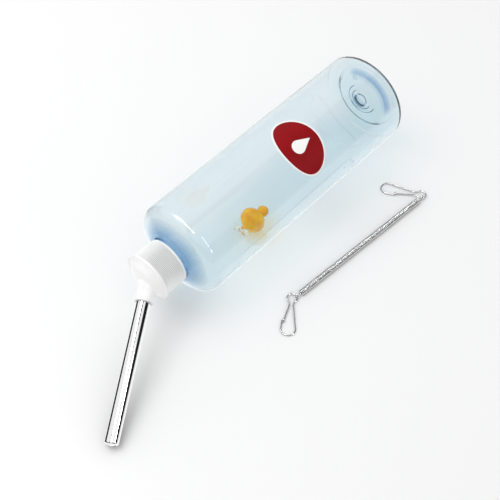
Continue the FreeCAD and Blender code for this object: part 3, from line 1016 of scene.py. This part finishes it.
def rounded_wire(points):
    """The points with sharp corners eased and long runs divided."""
    eased = [points[0]]
    for before, here, after in zip(points, points[1:], points[2:]):
        turn = (here - before).angle(after - here, 0)
        if turn > math.radians(14):
            reach = min(0.7, (here - before).length * 0.45, (after - here).length * 0.45)
            a = here + (before - here).normalized() * reach
            b = here + (after - here).normalized() * reach
            for t in (0, 0.25, 0.5, 0.75, 1):
                eased.append(a * (1 - t) ** 2 + here * 2 * t * (1 - t) + b * t**2)
        else:
            eased.append(here)
    eased.append(points[-1])
    apart = [eased[0]]
    apart += [b for a, b in zip(eased, eased[1:]) if (b - a).length >= 1e-6]
    return divided(apart, 0.5)


def build_clip(side, steel):
    place = clip_matrix(side)
    path = [place @ (p * MM) for p in rounded_wire(clip_frame_points())]
    frame_wire = wire(side + "_clip_bent_wire", path, CLIP_WIRE_R * MM, 14)
    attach(frame_wire, side + "_clip")
    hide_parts(side + "_clip_wire")
    paint(frame_wire, steel)
    pivot = Vector((NECK_AT[0], -NECK_AT[1], 0))
    tip = Vector((GATE_TIP[0], -GATE_TIP[1], 0))
    arm = [place @ (p * MM) for p in rounded_wire([pivot, tip])]
    gate = wire(side + "_clip_arm", arm, CLIP_WIRE_R * MM, 14)
    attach(gate, side + "_gate")
    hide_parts(side + "_clip_gate")
    paint(gate, steel)


def build_holder():
    stretch = (along_axis(COIL_DIR), (0.3, 1, 1))
    spring = polished("spring_steel", 0.66, 0.50, 0.2, stretch, 900.0)
    clip = polished("clip_steel", 0.58, 0.42, 0.16, ((0, 0, 0), (1, 1, 1)), 700.0)
    build_coil(spring)
    for side in ("left", "right"):
        build_clip(side, clip)


# ---------------------------------------------------------------- studio


# Where the camera looks and how far off it stands, in metres.
AIM = Vector((0.01313, 0.00911, 0.0))
CAMERA_DISTANCE = 0.74097
CAMERA_ELEVATION = 53.7
CAMERA_HEADING = 42.8
WORLD_STRENGTH = 1.2
PANEL = 0.85
PLAIN = 0.56


def build_camera():
    down, heading = math.radians(CAMERA_ELEVATION), math.radians(CAMERA_HEADING)
    level = math.cos(down)
    forward = Vector((level * math.cos(heading), level * math.sin(heading), -math.sin(down)))
    data = bpy.data.cameras.new("camera")
    data.lens = 72.0
    data.sensor_width = 36.0
    data.clip_start = 0.01
    camera = bpy.data.objects.new("camera", data)
    camera.location = AIM - forward * CAMERA_DISTANCE
    camera.rotation_euler = forward.to_track_quat("-Z", "Y").to_euler()
    bpy.context.scene.collection.objects.link(camera)
    bpy.context.scene.camera = camera


def lamp(name, size, power, matrix, lights):
    """An area lamp that either lights the scene or shows only as a highlight."""
    data = bpy.data.lights.new(name, "AREA")
    data.shape = "RECTANGLE"
    data.size, data.size_y = size
    data.energy = power
    light = bpy.data.objects.new(name, data)
    light.matrix_world = matrix
    light.visible_diffuse = lights
    light.visible_transmission = lights
    light.visible_glossy = not lights
    bpy.context.scene.collection.objects.link(light)


def strip(name, start, end, width, radiance, away=1.1):
    """A narrow lamp seen only in reflections, reaching from one direction to the other."""
    start, end = (AIM + Vector(d).normalized() * away for d in (start, end))
    along = (end - start).normalized()
    facing = (((start + end) / 2) - AIM).normalized()
    across = facing.cross(along).normalized()
    turn = Matrix((along, across, along.cross(across))).transposed().to_4x4()
    length = (end - start).length
    place = Matrix.Translation((start + end) / 2) @ turn
    lamp(name, (length, width), radiance * math.pi * length * width, place, False)


def step(tree, source, start, end):
    """0 below start and 1 above end, smooth between; the other way round if end is below start."""
    node = tree.nodes.new("ShaderNodeMapRange")
    node.interpolation_type = "SMOOTHSTEP"
    node.inputs["From Min"].default_value = min(start, end)
    node.inputs["From Max"].default_value = max(start, end)
    node.inputs["To Min"].default_value = 0.0 if start < end else 1.0
    node.inputs["To Max"].default_value = 1.0 if start < end else 0.0
    tree.links.new(source, node.inputs["Value"])
    return node.outputs["Result"]


def calculated(tree, operation, a, b):
    node = tree.nodes.new("ShaderNodeMath")
    node.operation = operation
    for socket, value in zip(node.inputs, (a, b)):
        if isinstance(value, float):
            socket.default_value = value
        else:
            tree.links.new(value, socket)
    return node.outputs["Value"]


def product(tree, first, *rest):
    for value in rest:
        first = calculated(tree, "MULTIPLY", first, value)
    return first


def greatest(tree, first, *rest):
    for value in rest:
        first = calculated(tree, "MAXIMUM", first, value)
    return first


def build_world():
    """Pale all round for lighting; in reflections, white panels with dark gaps between them."""
    world = bpy.data.worlds.new("studio")
    bpy.context.scene.world = world
    world.use_nodes = True
    tree = world.node_tree
    background = tree.nodes["Background"]
    ray = tree.nodes.new("ShaderNodeTexCoord").outputs["Generated"]
    split = tree.nodes.new("ShaderNodeSeparateXYZ")
    tree.links.new(ray, split.inputs["Vector"])
    x, y, z = split.outputs["X"], split.outputs["Y"], split.outputs["Z"]
    left = product(tree, step(tree, y, -0.02, 0.06), step(tree, z, 0.10, 0.24), PANEL)
    above = product(tree, step(tree, y, -0.14, -0.2), step(tree, z, 0.42, 0.55))
    above = product(tree, above, step(tree, x, 0.46, 0.4), PANEL)
    ground = product(tree, step(tree, z, -0.12, -0.26), step(tree, y, 0.1, -0.1), PANEL)
    below = step(tree, z, -0.5, -0.68)
    behind = product(tree, step(tree, x, 0.12, 0.34), step(tree, y, -0.05, 0.1), PANEL)
    seen = greatest(tree, left, above, ground, below, behind)
    plain = calculated(tree, "ADD", product(tree, step(tree, z, -0.2, 0.5), 0.12), PLAIN)
    # Only a ray that was mirrored, and hasn't bounced often, sees the panels.
    path = tree.nodes.new("ShaderNodeLightPath")
    pick = tree.nodes.new("ShaderNodeMix")
    mirrored = step(tree, path.outputs["Glossy Depth"], 0.2, 0.8)
    few = step(tree, path.outputs["Ray Depth"], 3.6, 3.2)
    tree.links.new(product(tree, mirrored, few), pick.inputs["Factor"])
    tree.links.new(plain, pick.inputs["A"])
    tree.links.new(seen, pick.inputs["B"])
    stops = [(0.0, (0.012, 0.012, 0.012)), (1.0, (1.0, 1.0, 1.0))]
    colour = ramp(tree, pick.outputs["Result"], stops)
    tree.links.new(colour.outputs["Color"], background.inputs["Color"])
    background.inputs["Strength"].default_value = WORLD_STRENGTH


def build_floor():
    work = bmesh.new()
    bmesh.ops.create_circle(work, cap_ends=True, segments=64, radius=0.9)
    mesh = bpy.data.meshes.new("floor")
    work.to_mesh(mesh)
    work.free()
    floor = bpy.data.objects.new("floor", mesh)
    bpy.context.scene.collection.objects.link(floor)
    paint(floor, floor_material())
    # The panels stand in for the floor in reflections.
    floor.visible_glossy = False


def build_studio():
    """The camera, the pale room, a soft key lamp, and two narrow lamps for the shoulder's highlights."""
    build_camera()
    build_world()
    build_floor()
    above = Vector((-0.35, 0.55, 1.15))
    turn = (AIM - above).to_track_quat("-Z", "Y").to_matrix().to_4x4()
    lamp("key", (0.9, 0.9), 5.6, Matrix.Translation(above) @ turn, True)
    strip("strip_above", (-0.17, 0.62, 0.80), (-0.32, -0.33, 0.90), 0.11, 22.0)
    strip("strip_side", (0.14, -0.55, 0.82), (0.23, -0.95, 0.25), 0.06, 24.0)
    scene = bpy.context.scene
    scene.view_settings.view_transform = "Standard"
    scene.view_settings.look = "None"
    scene.cycles.caustics_reflective = False
    scene.cycles.caustics_refractive = False
    scene.cycles.max_bounces = 24
    scene.cycles.transmission_bounces = 20
    scene.cycles.transparent_max_bounces = 24
    scene.cycles.blur_glossy = 0.3


build_bottle()
mould_mark()
thread()
build_label()
build_washer()
build_cap()
build_tube()
build_balls()
build_float()
build_holder()
build_studio()
